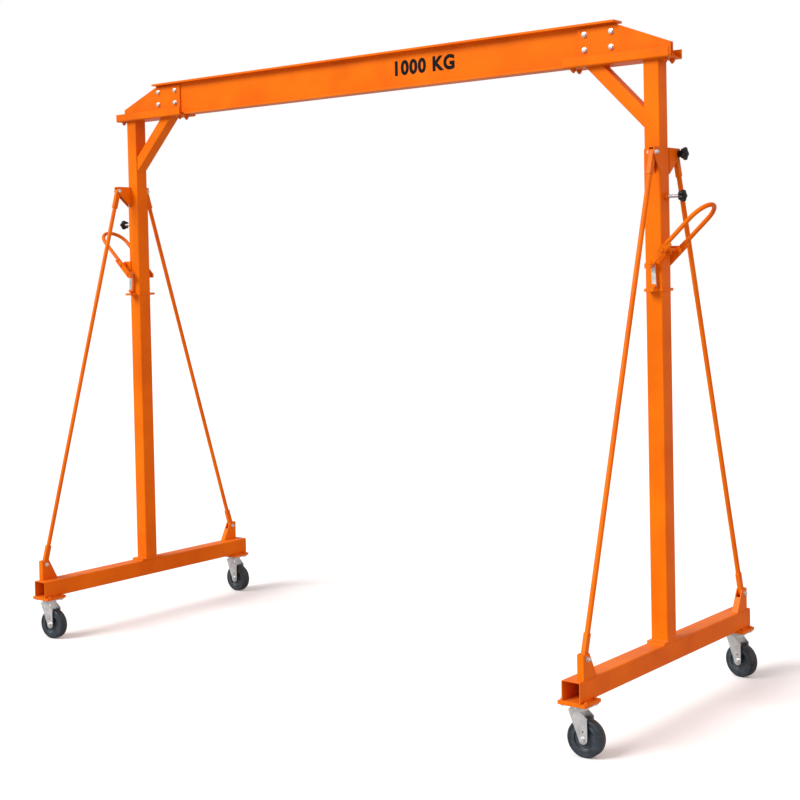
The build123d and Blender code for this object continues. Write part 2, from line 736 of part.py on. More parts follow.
def caster_wheel():
    """A hard rubber wheel with a recessed disc and a hub, turned about Y through the axle."""
    half = WHEEL_WIDTH / 2
    profile = [
        (AXLE_RADIUS + RUNNING_CLEARANCE, 0),
        (AXLE_RADIUS + RUNNING_CLEARANCE, 21.5),
        (11, 21.5),
        (14, half - 6),
        (35, half - 6),
        (38, half - 1),
        (52, half),
        (WHEEL_RADIUS - 3, half - 2),
        (WHEEL_RADIUS, half - 7),
        (WHEEL_RADIUS, 0),
    ]
    outline = make_face(Polyline([(r, y, 0) for r, y in profile], close=True))
    side = revolve(outline, axis=Axis.Y)
    wheel = side + mirror(side, about=Plane.XZ)
    return Pos(CASTER_TRAIL, 0, WHEEL_RADIUS) * wheel


def caster_axle():
    """The axle bolt and its nut."""
    face = FORK_HALF_GAP + FORK_WALL
    return bolt(AXLE_RADIUS, (CASTER_TRAIL, -face, WHEEL_RADIUS), (CASTER_TRAIL, face, WHEEL_RADIUS), tail=3)


def stand_casters():
    """The four casters, each turned to its own heading."""
    parts = {"left_caster_plates": [], "right_caster_plates": []}
    for name, turn in CASTER_TURN.items():
        side, end = name.split("_")
        x = MAST_X if side == "right" else -MAST_X
        y = CASTER_Y if end == "rear" else -CASTER_Y
        place = Pos(x, y, 0)
        turned = place * Rot(0, 0, turn)
        parts[side + "_caster_plates"].append(place * caster_plate())
        parts[name + "_fork"] = turned * caster_fork()
        parts[name + "_wheel"] = turned * caster_wheel()
        parts[name + "_axle"] = turned * caster_axle()
    for side in ("left", "right"):
        node = side + "_caster_plates"
        parts[node] = group(parts[node])
    return parts


# ---------------------------------------------------------------- assembly

def caster_pads():
    """The two pads of a leg."""
    return both_ways(caster_pad)


def lower_brackets():
    """The two lower brackets of a leg."""
    return both_ways(lower_bracket)


LEG_PARTS = [
    inner_mast, head_channel, knee_brace,
    base_tube, caster_pads, caster_bolts, outer_mast,
    lower_brackets, clamp_screw, clamp_knob,
    lever_ears, lever_pin, jack_lever, jack_links, link_pins, jack_collar,
]


def leg_bracing(front_pivot, rear_pivot):
    """The upper brackets, struts, bolts and star nut of a leg, as they stand on the right."""
    front_bracket = mirror(upper_bracket(front_pivot), about=Plane.XZ)
    return {
        "upper_brackets": group([front_bracket, upper_bracket(rear_pivot)]),
        "front_brace": mirror(brace(front_pivot), about=Plane.XZ),
        "rear_brace": brace(rear_pivot),
        "brace_bolts": brace_bolts(front_pivot, rear_pivot),
        "brace_knob": brace_knob(rear_pivot),
    }


def all_parts():
    """Every node of the crane by name."""
    parts = {"i_beam": i_beam(), "web_bolts": web_bolts(), "head_bolts": head_bolts()}
    right_gussets = web_gussets()
    parts["web_gussets"] = group(list(right_gussets.solids()) + list(mirrored(right_gussets).solids()))
    for make in LEG_PARTS:
        shape = make()
        parts["right_" + make.__name__] = shape
        parts["left_" + make.__name__] = mirrored(shape)
    for node, shape in leg_bracing(SHORT_PIVOT, LONG_PIVOT).items():
        parts["right_" + node] = shape
    for node, shape in leg_bracing(LONG_PIVOT, SHORT_PIVOT).items():
        parts["left_" + node] = mirrored(shape)
    parts.update(stand_casters())
    return parts


os.makedirs("parts", exist_ok=True)
for node, shape in all_parts().items():
    export_step(shape, "parts/" + node + ".step")
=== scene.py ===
import json
import math

import bmesh
import bpy
from mathutils import Matrix, Vector


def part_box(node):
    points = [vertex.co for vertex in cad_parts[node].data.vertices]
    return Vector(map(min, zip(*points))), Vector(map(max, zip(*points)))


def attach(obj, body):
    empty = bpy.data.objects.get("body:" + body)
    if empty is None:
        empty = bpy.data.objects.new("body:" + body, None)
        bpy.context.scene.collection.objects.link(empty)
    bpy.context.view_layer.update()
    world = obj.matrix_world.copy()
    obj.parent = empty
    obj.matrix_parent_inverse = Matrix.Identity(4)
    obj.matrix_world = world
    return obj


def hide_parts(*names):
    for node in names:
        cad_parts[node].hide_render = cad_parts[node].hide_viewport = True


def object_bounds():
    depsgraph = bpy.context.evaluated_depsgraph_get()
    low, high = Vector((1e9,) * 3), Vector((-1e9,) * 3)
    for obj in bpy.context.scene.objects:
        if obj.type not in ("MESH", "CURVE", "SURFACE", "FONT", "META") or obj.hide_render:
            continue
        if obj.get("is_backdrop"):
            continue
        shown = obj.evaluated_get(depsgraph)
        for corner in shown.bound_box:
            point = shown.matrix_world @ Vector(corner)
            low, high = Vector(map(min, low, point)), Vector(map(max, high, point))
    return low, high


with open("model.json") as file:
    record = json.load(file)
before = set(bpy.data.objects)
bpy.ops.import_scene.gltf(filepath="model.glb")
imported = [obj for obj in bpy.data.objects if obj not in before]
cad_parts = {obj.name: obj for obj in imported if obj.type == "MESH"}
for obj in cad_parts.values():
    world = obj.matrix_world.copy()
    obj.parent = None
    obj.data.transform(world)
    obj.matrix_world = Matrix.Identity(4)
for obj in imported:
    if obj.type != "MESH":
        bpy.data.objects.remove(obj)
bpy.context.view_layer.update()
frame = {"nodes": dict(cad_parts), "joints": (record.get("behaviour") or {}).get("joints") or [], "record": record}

joints = {joint["name"]: joint for joint in frame["joints"]}


# ---------------------------------------------------------------- painted steelwork
# The tubes, beam, brackets and levers are mild steel, welded up and powder coated in a bright
# orange. The coat has a faint orange-peel skin, and a painted highlight in a paler orange lies in patches along
# the edges.
DEEP_ORANGE = (0.76, 0.138, 0.0008, 1)
BRIGHT_ORANGE = (0.88, 0.180, 0.0012, 1)
# Paler orange of the painted highlight along the edges
EDGE_HIGHLIGHT_ORANGE = (0.92, 0.30, 0.06, 1)
PALE_DUST = (0.80, 0.62, 0.50, 1)


def powder_coat(name, deep, bright, peel):
    """Orange powder coat with orange peel, a painted highlight in patches along the edges and a little dust on top
    faces.
    """
    paint = bpy.data.materials.new(name)
    paint.use_nodes = True
    nodes, links = paint.node_tree.nodes, paint.node_tree.links
    shader = nodes["Principled BSDF"]
    shader.inputs["Specular IOR Level"].default_value = 0.09
    shader.inputs["Coat Weight"].default_value = 0.02
    shader.inputs["Coat Roughness"].default_value = 0.15
    place = nodes.new("ShaderNodeTexCoord")

    drift = nodes.new("ShaderNodeTexNoise")
    drift.inputs["Scale"].default_value = 5.0
    drift.inputs["Detail"].default_value = 4.0
    tone = nodes.new("ShaderNodeValToRGB")
    tone.color_ramp.elements[0].position = 0.35
    tone.color_ramp.elements[0].color = deep
    tone.color_ramp.elements[1].position = 0.65
    tone.color_ramp.elements[1].color = bright
    links.new(place.outputs["Object"], drift.inputs["Vector"])
    links.new(drift.outputs["Fac"], tone.inputs["Fac"])

    rounded = nodes.new("ShaderNodeBevel")
    rounded.samples = 4
    rounded.inputs["Radius"].default_value = 0.0012
    flat = nodes.new("ShaderNodeNewGeometry")
    agree = nodes.new("ShaderNodeVectorMath")
    agree.operation = "DOT_PRODUCT"
    links.new(rounded.outputs["Normal"], agree.inputs[0])
    links.new(flat.outputs["Normal"], agree.inputs[1])
    # Painted highlight: where the rounded normal turns away from the flat one, a paler orange is mixed in, in
    # patches
    edge = nodes.new("ShaderNodeMapRange")
    edge.inputs["From Min"].default_value = 0.99
    edge.inputs["From Max"].default_value = 0.85
    links.new(agree.outputs["Value"], edge.inputs["Value"])
    chance = nodes.new("ShaderNodeTexNoise")
    chance.inputs["Scale"].default_value = 70.0
    chance.inputs["Detail"].default_value = 5.0
    links.new(place.outputs["Object"], chance.inputs["Vector"])
    rub_and_painted_highlight = nodes.new("ShaderNodeMath")
    rub_and_painted_highlight.operation = "MULTIPLY"
    links.new(edge.outputs["Result"], rub_and_painted_highlight.inputs[0])
    links.new(chance.outputs["Fac"], rub_and_painted_highlight.inputs[1])
    edge_highlighted = nodes.new("ShaderNodeMix")
    edge_highlighted.data_type = "RGBA"
    edge_highlighted.inputs["B"].default_value = EDGE_HIGHLIGHT_ORANGE
    links.new(rub_and_painted_highlight.outputs["Value"], edge_highlighted.inputs["Factor"])
    links.new(tone.outputs["Color"], edge_highlighted.inputs["A"])

    upward = nodes.new("ShaderNodeSeparateXYZ")
    links.new(flat.outputs["Normal"], upward.inputs["Vector"])
    dusty = nodes.new("ShaderNodeMapRange")
    dusty.inputs["From Min"].default_value = 0.7
    dusty.inputs["From Max"].default_value = 1.0
    dusty.inputs["To Max"].default_value = 0.05
    links.new(upward.outputs["Z"], dusty.inputs["Value"])
    dust_patch = nodes.new("ShaderNodeMath")
    dust_patch.operation = "MULTIPLY"
    links.new(dusty.outputs["Result"], dust_patch.inputs[0])
    links.new(chance.outputs["Fac"], dust_patch.inputs[1])
    topped = nodes.new("ShaderNodeMix")
    topped.data_type = "RGBA"
    topped.inputs["B"].default_value = PALE_DUST
    links.new(dust_patch.outputs["Value"], topped.inputs["Factor"])
    links.new(edge_highlighted.outputs["Result"], topped.inputs["A"])
    links.new(topped.outputs["Result"], shader.inputs["Base Color"])

    gloss = nodes.new("ShaderNodeMapRange")
    gloss.inputs["To Min"].default_value = 0.30
    gloss.inputs["To Max"].default_value = 0.46
    links.new(chance.outputs["Fac"], gloss.inputs["Value"])
    links.new(gloss.outputs["Result"], shader.inputs["Roughness"])

    skin = nodes.new("ShaderNodeTexNoise")
    skin.inputs["Scale"].default_value = peel
    skin.inputs["Detail"].default_value = 2.0
    links.new(place.outputs["Object"], skin.inputs["Vector"])
    bump = nodes.new("ShaderNodeBump")
    bump.inputs["Strength"].default_value = 0.12
    bump.inputs["Distance"].default_value = 0.0004
    links.new(skin.outputs["Fac"], bump.inputs["Height"])
    links.new(rounded.outputs["Normal"], bump.inputs["Normal"])
    links.new(bump.outputs["Normal"], shader.inputs["Normal"])
    return paint


orange_coat = powder_coat("orange_coat", DEEP_ORANGE, BRIGHT_ORANGE, peel=420.0)
slots = {part["node"]: part["material_slot"] for part in frame["record"]["subparts"]}


def dress(node, material):
    """A finish on a CAD node."""
    mesh = frame["nodes"][node].data
    mesh.materials.clear()
    mesh.materials.append(material)


for node, slot in slots.items():
    if slot == "orange_paint":
        dress(node, orange_coat)


# ---------------------------------------------------------------- zinc plated steel
# The caster plates, forks, links, pins and the clamp stud are pressed or turned steel with a
# bright zinc plate. It is cool and slightly cloudy, with fine scuffs.
ZINC_SHADE = (0.60, 0.64, 0.66, 1)
ZINC_BRIGHT = (0.84, 0.87, 0.88, 1)


def zinc_plate(name, cloud, low_rough, high_rough):
    """Bright zinc plate with clouding and fine scuffs."""
    zinc = bpy.data.materials.new(name)
    zinc.use_nodes = True
    nodes, links = zinc.node_tree.nodes, zinc.node_tree.links
    shader = nodes["Principled BSDF"]
    shader.inputs["Metallic"].default_value = 0.85
    place = nodes.new("ShaderNodeTexCoord")
    clouding = nodes.new("ShaderNodeTexNoise")
    clouding.inputs["Scale"].default_value = cloud
    clouding.inputs["Detail"].default_value = 6.0
    links.new(place.outputs["Object"], clouding.inputs["Vector"])
    tone = nodes.new("ShaderNodeValToRGB")
    tone.color_ramp.elements[0].position = 0.3
    tone.color_ramp.elements[0].color = ZINC_SHADE
    tone.color_ramp.elements[1].position = 0.7
    tone.color_ramp.elements[1].color = ZINC_BRIGHT
    links.new(clouding.outputs["Fac"], tone.inputs["Fac"])
    links.new(tone.outputs["Color"], shader.inputs["Base Color"])
    gloss = nodes.new("ShaderNodeMapRange")
    gloss.inputs["To Min"].default_value = low_rough
    gloss.inputs["To Max"].default_value = high_rough
    links.new(clouding.outputs["Fac"], gloss.inputs["Value"])
    links.new(gloss.outputs["Result"], shader.inputs["Roughness"])
    rounded = nodes.new("ShaderNodeBevel")
    rounded.samples = 4
    rounded.inputs["Radius"].default_value = 0.0007
    scuffs = nodes.new("ShaderNodeTexNoise")
    scuffs.inputs["Scale"].default_value = 900.0
    links.new(place.outputs["Object"], scuffs.inputs["Vector"])
    bump = nodes.new("ShaderNodeBump")
    bump.inputs["Strength"].default_value = 0.15
    bump.inputs["Distance"].default_value = 0.0001
    links.new(scuffs.outputs["Fac"], bump.inputs["Height"])
    links.new(rounded.outputs["Normal"], bump.inputs["Normal"])
    links.new(bump.outputs["Normal"], shader.inputs["Normal"])
    return zinc


pressed_zinc = zinc_plate("pressed_zinc", cloud=45.0, low_rough=0.26, high_rough=0.44)
bolt_zinc = zinc_plate("bolt_zinc", cloud=160.0, low_rough=0.30, high_rough=0.46)
for node, slot in slots.items():
    if slot == "zinc_plate":
        dress(node, pressed_zinc)


# ---------------------------------------------------------------- hex bolts
# Hex bolts hold the gussets, heads, braces and casters. A through bolt has a chamfered head, a
# washer and nut, and a threaded tail past the nut. Those in the heads and the heads of the caster
# bolts are painted over with the steelwork, and the rest are zinc plated.

# Sizes as shares of the thread's radius, and the turns of thread that show past the nut
WASHER_THICK = 0.3
WASHER_WIDE = 2.05
ACROSS_FLATS = 3.2
HEAD_HIGH = 1.28
NUT_HIGH = 1.6
THREAD_FROM = 1.5
THREAD_PITCH = 0.22
TAIL_TURNS = 5


def finished_piece(shape, name, body, material, stands_for=()):
    """A mesh made into a piece that rides on a body, with crisp edges kept crisp."""
    bmesh.ops.recalc_face_normals(shape, faces=shape.faces)
    mesh = bpy.data.meshes.new(name)
    shape.to_mesh(mesh)
    shape.free()
    mesh.shade_smooth()
    mesh.set_sharp_from_angle(angle=math.radians(32))
    mesh.materials.append(material)
    piece = bpy.data.objects.new(name, mesh)
    bpy.context.scene.collection.objects.link(piece)
    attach(piece, body)
    if stands_for:
        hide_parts(*stands_for)
    return piece


def along(start, direction):
    """A place at start whose Z axis points in the direction."""
    turn = Vector(direction).to_track_quat("Z", "Y").to_matrix().to_4x4()
    return Matrix.Translation(start) @ turn


def turned(shape, place, low, high, radius, sides=32, chamfer=0.0):
    """A bar from low to high on the place's Z axis, with both rims chamfered."""
    middle = place @ Matrix.Translation((0, 0, (low + high) / 2))
    made = bmesh.ops.create_cone(shape, cap_ends=True, segments=sides, radius1=radius,
                                 radius2=radius, depth=high - low, matrix=middle)
    if chamfer:
        faces = {face for vert in made["verts"] for face in vert.link_faces}
        ends = [face for face in faces if len(face.verts) == sides]
        rims = {edge for face in ends for edge in face.edges}
        bmesh.ops.bevel(shape, geom=list(rims), offset=chamfer, offset_type="OFFSET",
                        affect="EDGES", segments=2, profile=0.5, material=-1, clamp_overlap=True)


def hex_end(shape, seat, way, radius, height):
    """A bolt head or nut with its washer, sitting on a face."""
    place = along(seat, way)
    washer = WASHER_THICK * radius
    half_width = ACROSS_FLATS * radius / 2 / math.cos(math.pi / 6)
    turned(shape, place, 0, washer, WASHER_WIDE * radius, chamfer=0.06 * radius)
    turned(shape, place, washer, washer + height, half_width, sides=6, chamfer=0.16 * radius)


def hex_bolt(shape, head_face, nut_face, radius):
    """One bolt from the face under its head to the face under its nut."""
    head_face = Vector(head_face)
    nut_face = Vector(nut_face)
    out = (nut_face - head_face).normalized()
    washer = WASHER_THICK * radius
    hex_end(shape, head_face, -out, radius, HEAD_HIGH * radius)
    hex_end(shape, nut_face, out, radius, NUT_HIGH * radius)
    tail = along(nut_face, out)
    start = washer + THREAD_FROM * radius
    pitch = THREAD_PITCH * radius
    tip = start + TAIL_TURNS * pitch
    for turn in range(TAIL_TURNS):
        low = start + turn * pitch
        turned(shape, tail, low, low + 0.62 * pitch, radius, sides=20, chamfer=0.14 * pitch)
    turned(shape, tail, 0.2 * radius, tip, 0.87 * radius, sides=20, chamfer=0.1 * radius)
    turned(shape, tail, -(nut_face - head_face).length, washer, 0.98 * radius, sides=20)


FRAME_BOLT = 0.005
GUSSET_FACE = 0.009
WEB_BOLT_X = (1.073, 1.183)
WEB_BOLT_Z = (2.346, 2.401)
web_bolts = bmesh.new()
for side in (-1, 1):
    for x in WEB_BOLT_X:
        for z in WEB_BOLT_Z:
            front_face = (side * x, -GUSSET_FACE, z)
            hex_bolt(web_bolts, front_face, (side * x, GUSSET_FACE, z), FRAME_BOLT)
finished_piece(web_bolts, "web_bolt_set", "upper_frame", bolt_zinc, ["web_bolts"])

# Distance out, distance to front or back and height of the seat, for the inner and the outer bolts
HEAD_BOLT_SEATS = ((1.032, 0.020, 2.296), (1.405, 0.024, 2.294))
CHANNEL_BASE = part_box("right_head_channel")[0][2]
head_bolts = bmesh.new()
for side in (-1, 1):
    for x, y, seat in HEAD_BOLT_SEATS:
        for front in (-1, 1):
            top = (side * x, front * y, seat)
            hex_bolt(head_bolts, top, (side * x, front * y, CHANNEL_BASE), FRAME_BOLT)
finished_piece(head_bolts, "head_bolt_set", "upper_frame", orange_coat,
               ["head_bolts"])

MAST_X = 1.35
INNER_CHEEK = 0.010
OUTER_CHEEK = 0.034
FOOT_PIVOTS = ((-0.568, 0.318), (0.568, 0.318))
FRONT_REACH = {"left": 0.100, "right": 0.066}
BRACE_BOLT = 0.0043
# The bolt that carries a star grip, as lengths each way from the inner cheek, and radii
STAR_WASHER = 0.0015
STAR_WASHER_RADIUS = 0.0102
STAR_HEAD = 0.0079
STAR_HEAD_RADIUS = 0.0092
STAR_SHANK = 0.048
STAR_SHANK_RADIUS = 0.00495
# The caster bolts, with the thread's radius and the height of each head and nut
CASTER_Y = 0.565
PAD_TOP = 0.182
PLATE_BOTTOM = 0.168
CASTER_BOLT_X = 0.043
CASTER_BOLT_Y = 0.030
CASTER_HEAD = (0.0040, 0.0045)
CASTER_NUT = (0.0034, 0.0036)
for name, side in (("left", -1), ("right", 1)):
    inner = side * (MAST_X + INNER_CHEEK)
    outer = side * (MAST_X + OUTER_CHEEK)
    star_pivot = joints[name + "_star_nut_turn"]["pos_m"]
    braces = bmesh.new()
    for y, z in FOOT_PIVOTS + ((-FRONT_REACH[name], star_pivot[2]),):
        hex_bolt(braces, (inner, y, z), (outer, y, z), BRACE_BOLT)
    hinge = along((inner, star_pivot[1], star_pivot[2]), (-side, 0, 0))
    turned(braces, hinge, 0, STAR_WASHER, STAR_WASHER_RADIUS, chamfer=0.0003)
    turned(braces, hinge, STAR_WASHER, STAR_HEAD, STAR_HEAD_RADIUS, sides=6, chamfer=0.0008)
    turned(braces, hinge, -STAR_SHANK, 0.001, STAR_SHANK_RADIUS, sides=24, chamfer=0.0005)
    finished_piece(braces, name + "_brace_bolt_set", name + "_leg", bolt_zinc,
                   [name + "_brace_bolts"])
    caster_heads = bmesh.new()
    caster_nuts = bmesh.new()
    for end in (-1, 1):
        for dx in (-CASTER_BOLT_X, CASTER_BOLT_X):
            for dy in (-CASTER_BOLT_Y, CASTER_BOLT_Y):
                x = side * MAST_X + dx
                y = end * CASTER_Y + dy
                hex_end(caster_heads, (x, y, PAD_TOP), (0, 0, 1), *CASTER_HEAD)
                hex_end(caster_nuts, (x, y, PLATE_BOTTOM), (0, 0, -1), *CASTER_NUT)
    finished_piece(caster_heads, name + "_caster_bolt_heads", name + "_leg",
                   orange_coat, [name + "_caster_bolts"])
    finished_piece(caster_nuts, name + "_caster_nuts", name + "_leg", bolt_zinc)


# ---------------------------------------------------------------- caster wheels
# Each wheel has a hard rubber tread bonded on a moulded core, with a raised ring, a dished disc
# and a hub. It runs on a plated bolt through the fork.
TREAD_TONES = ((0.012, 0.019, 0.027, 1), (0.034, 0.048, 0.062, 1))
CORE_TONES = ((0.020, 0.030, 0.040, 1), (0.050, 0.068, 0.084, 1))


def moulded_rubber(name, dark, pale, rough, grain):
    """Blue-grey moulded rubber, a little scuffed."""
    rubber = bpy.data.materials.new(name)
    rubber.use_nodes = True
    nodes, links = rubber.node_tree.nodes, rubber.node_tree.links
    shader = nodes["Principled BSDF"]
    shader.inputs["Roughness"].default_value = rough
    place = nodes.new("ShaderNodeTexCoord")
    scuff = nodes.new("ShaderNodeTexNoise")
    scuff.inputs["Scale"].default_value = 60.0
    scuff.inputs["Detail"].default_value = 8.0
    links.new(place.outputs["Object"], scuff.inputs["Vector"])
    tone = nodes.new("ShaderNodeValToRGB")
    tone.color_ramp.elements[0].position = 0.35
    tone.color_ramp.elements[0].color = dark
    tone.color_ramp.elements[1].position = 0.75
    tone.color_ramp.elements[1].color = pale
    links.new(scuff.outputs["Fac"], tone.inputs["Fac"])
    links.new(tone.outputs["Color"], shader.inputs["Base Color"])
    texture = nodes.new("ShaderNodeTexNoise")
    texture.inputs["Scale"].default_value = grain
    links.new(place.outputs["Object"], texture.inputs["Vector"])
    bump = nodes.new("ShaderNodeBump")
    bump.inputs["Strength"].default_value = 0.25
    bump.inputs["Distance"].default_value = 0.0002
    links.new(texture.outputs["Fac"], bump.inputs["Height"])
    links.new(bump.outputs["Normal"], shader.inputs["Normal"])
    return rubber


tread_rubber = moulded_rubber("tread_rubber", *TREAD_TONES, rough=0.36, grain=700.0)
core_rubber = moulded_rubber("core_rubber", *CORE_TONES, rough=0.28, grain=500.0)

# Radius and half width of each ring, from the inside out
TREAD_HALF = ((0.0500, 0.0166), (0.0560, 0.0180), (0.0588, 0.0178), (0.0612, 0.0164),
              (0.0625, 0.0130))
CORE_HALF = ((0.0051, 0.0215), (0.0098, 0.0215), (0.0112, 0.0205), (0.0135, 0.0122),
             (0.0155, 0.0112), (0.0330, 0.0106), (0.0352, 0.0118), (0.0372, 0.0166),
             (0.0388, 0.0175), (0.0410, 0.0175), (0.0425, 0.0168), (0.0497, 0.0166))
FORK_FACE = 0.026
AXLE_RADIUS = 0.005


def spun_ring(half_profile):
    """A closed ring about the Y axis, the same on both sides."""
    shape = bmesh.new()
    loop = list(half_profile) + [(radius, -width) for radius, width in reversed(half_profile)]
    verts = [shape.verts.new((radius, width, 0)) for radius, width in loop]
    edges = [shape.edges.new((verts[i], verts[i - 1])) for i in range(len(verts))]
    bmesh.ops.spin(shape, geom=verts + edges, cent=(0, 0, 0), axis=(0, 1, 0), dvec=(0, 0, 0),
                   angle=2 * math.pi, steps=80, use_merge=True)
    return shape


for corner in ("left_front", "left_rear", "right_front", "right_rear"):
    roll = joints[corner + "_roll"]
    heading = math.atan2(-roll["axis"][0], roll["axis"][1])
    place = Matrix.Translation(roll["pos_m"]) @ Matrix.Rotation(heading, 4, "Z")
    tread = spun_ring(TREAD_HALF)
    bmesh.ops.transform(tread, matrix=place, verts=tread.verts)
    finished_piece(tread, corner + "_tread", corner + "_wheel_turn", tread_rubber,
                   [corner + "_wheel"])
    core = spun_ring(CORE_HALF)
    bmesh.ops.transform(core, matrix=place, verts=core.verts)
    finished_piece(core, corner + "_core", corner + "_wheel_turn", core_rubber)
    axle = bmesh.new()
    head_face = place @ Vector((0, -FORK_FACE, 0))
    hex_bolt(axle, head_face, place @ Vector((0, FORK_FACE, 0)), AXLE_RADIUS)
    finished_piece(axle, corner + "_axle_bolt", corner + "_caster", bolt_zinc,
                   [corner + "_axle"])


# ---------------------------------------------------------------- knobs
# The clamp screws and the rear brace bolts are turned by black moulded star grips. Each has five
# rounded lobes, a crowned face and, on the brace bolt, a short neck.
LOBES = 5
LOBE_DEPTH = 0.10


def moulded_plastic(name):
    """Black moulded plastic with a satin grain."""
    plastic = bpy.data.materials.new(name)
    plastic.use_nodes = True
    nodes, links = plastic.node_tree.nodes, plastic.node_tree.links
    shader = nodes["Principled BSDF"]
    shader.inputs["Specular IOR Level"].default_value = 0.22
    place = nodes.new("ShaderNodeTexCoord")
    rub_and_painted_highlight = nodes.new("ShaderNodeTexNoise")
    rub_and_painted_highlight.inputs["Scale"].default_value = 120.0
    rub_and_painted_highlight.inputs["Detail"].default_value = 5.0
    links.new(place.outputs["Object"], rub_and_painted_highlight.inputs["Vector"])
    tone = nodes.new("ShaderNodeValToRGB")
    tone.color_ramp.elements[0].position = 0.3
    tone.color_ramp.elements[0].color = (0.004, 0.004, 0.005, 1)
    tone.color_ramp.elements[1].position = 0.8
    tone.color_ramp.elements[1].color = (0.014, 0.014, 0.016, 1)
    links.new(rub_and_painted_highlight.outputs["Fac"], tone.inputs["Fac"])
    links.new(tone.outputs["Color"], shader.inputs["Base Color"])
    gloss = nodes.new("ShaderNodeMapRange")
    gloss.inputs["To Min"].default_value = 0.25
    gloss.inputs["To Max"].default_value = 0.45
    links.new(rub_and_painted_highlight.outputs["Fac"], gloss.inputs["Value"])
    links.new(gloss.outputs["Result"], shader.inputs["Roughness"])
    grain = nodes.new("ShaderNodeTexNoise")
    grain.inputs["Scale"].default_value = 1500.0
    links.new(place.outputs["Object"], grain.inputs["Vector"])
    bump = nodes.new("ShaderNodeBump")
    bump.inputs["Strength"].default_value = 0.2
    bump.inputs["Distance"].default_value = 0.0001
    links.new(grain.outputs["Fac"], bump.inputs["Height"])
    links.new(bump.outputs["Normal"], shader.inputs["Normal"])
    return plastic


black_plastic = moulded_plastic("black_plastic")


def star_grip(place, radius, neck, depth):
    """A lobed grip on the place's Z axis, built ring by ring and closed at both ends."""
    shape = bmesh.new()
    sides = 80
    rings = [(0.0, 0.52), (neck * 0.9, 0.50)] if neck else []
    for share, scale in ((0, 0.86), (0.12, 0.97), (0.3, 1.0), (0.7, 1.0), (0.9, 0.95), (1, 0.82)):
        rings.append((neck + share * depth, scale))
    ring = bmesh.ops.create_circle(shape, cap_ends=False, segments=sides, radius=1.0)["verts"]
    loops = [list(ring)]
    edges = list({edge for vert in ring for edge in vert.link_edges})
    for _ in rings[1:]:
        grown = bmesh.ops.extrude_edge_only(shape, edges=edges)["geom"]
        loops.append([item for item in grown if isinstance(item, bmesh.types.BMVert)])
        edges = [item for item in grown if isinstance(item, bmesh.types.BMEdge)
                 and item.verts[0] in loops[-1] and item.verts[1] in loops[-1]]
    for verts, (height, scale) in zip(loops, rings):
        lobed = 0.0 if height < neck else LOBE_DEPTH
        for vert in verts:
            angle = math.atan2(vert.co.y, vert.co.x)
            reach = radius * scale * (1 - lobed + lobed * math.cos(LOBES * angle))
            vert.co = (reach * math.cos(angle), reach * math.sin(angle), height)
    open_rims = [edge for edge in shape.edges if edge.is_boundary]
    bmesh.ops.holes_fill(shape, edges=open_rims, sides=sides)
    cap = max(shape.faces, key=lambda face: face.calc_center_median().z)
    bmesh.ops.inset_region(shape, faces=[cap], thickness=0.35 * radius, depth=0.08 * depth)
    bmesh.ops.transform(shape, matrix=place, verts=shape.verts)
    return shape


CLAMP_Z = 1.808
CLAMP_GRIP_FROM = 0.090
# The clamp screw, with its thread as separate turns on a plain core
SCREW_FROM = 0.0308
SCREW_LENGTH = 0.0732
SCREW_CORE = 0.0053
SCREW_CREST = 0.00597
SCREW_TURNS = 26
SCREW_PITCH = 0.00175
SCREW_PLAIN = 0.015
SCREW_RIDGE = 0.0011
for name, side in (("left", -1), ("right", 1)):
    clamp_place = along((side * (MAST_X + CLAMP_GRIP_FROM), 0, CLAMP_Z), (side, 0, 0))
    grip = star_grip(clamp_place, radius=0.0215, neck=0, depth=0.0185)
    finished_piece(grip, name + "_clamp_grip", name + "_clamp", black_plastic,
                   [name + "_clamp_knob"])
    brace_place = along(joints[name + "_star_nut_turn"]["pos_m"], (side, 0, 0))
    grip = star_grip(brace_place, radius=0.0238, neck=0.016, depth=0.0135)
    finished_piece(grip, name + "_brace_grip", name + "_star_nut", black_plastic,
                   [name + "_brace_knob"])
    screw = bmesh.new()
    place = along((side * (MAST_X + SCREW_FROM), 0, CLAMP_Z), (side, 0, 0))
    turned(screw, place, 0, SCREW_LENGTH, SCREW_CORE, sides=24, chamfer=0.0008)
    for turn in range(SCREW_TURNS):
        low = SCREW_PLAIN + turn * SCREW_PITCH
        turned(screw, place, low, low + SCREW_RIDGE, SCREW_CREST, sides=24, chamfer=0.0003)
    finished_piece(screw, name + "_clamp_thread", name + "_clamp", bolt_zinc,
                   [name + "_clamp_screw"])


# ---------------------------------------------------------------- welds
# The masts, brackets, ears, pads and heads are joined by fillet welds, laid by hand and painted
# over. Each bead is a row of small overlapping ripples.
RIPPLE = 0.0022


def weld_bead(shape, start, end, radius):
    """A rippled bead between two points."""
    start = Vector(start)
    end = Vector(end)
    run = (end - start).length
    place = along(start, end - start)
    steps = max(4, int(run / RIPPLE))
    ring = bmesh.ops.create_circle(shape, cap_ends=True, segments=8, radius=radius * 0.6,
                                   matrix=place)["verts"]
    edges = list({edge for vert in ring for edge in vert.link_edges})
    step = (end - start) / steps
    for count in range(1, steps + 1):
        grown = bmesh.ops.extrude_edge_only(shape, edges=edges)["geom"]
        verts = [item for item in grown if isinstance(item, bmesh.types.BMVert)]
        edges = [item for item in grown if isinstance(item, bmesh.types.BMEdge)
                 and item.verts[0] in verts and item.verts[1] in verts]
        centre = start + step * count
        swell = 0.92 + 0.12 * math.cos(count * 2.1) + 0.05 * math.sin(count * 0.7)
        if count == steps:
            swell = 0.6
        for vert in verts:
            away = vert.co + step - centre
            vert.co = centre + away.normalized() * radius * swell
    bmesh.ops.contextual_create(shape, geom=edges)


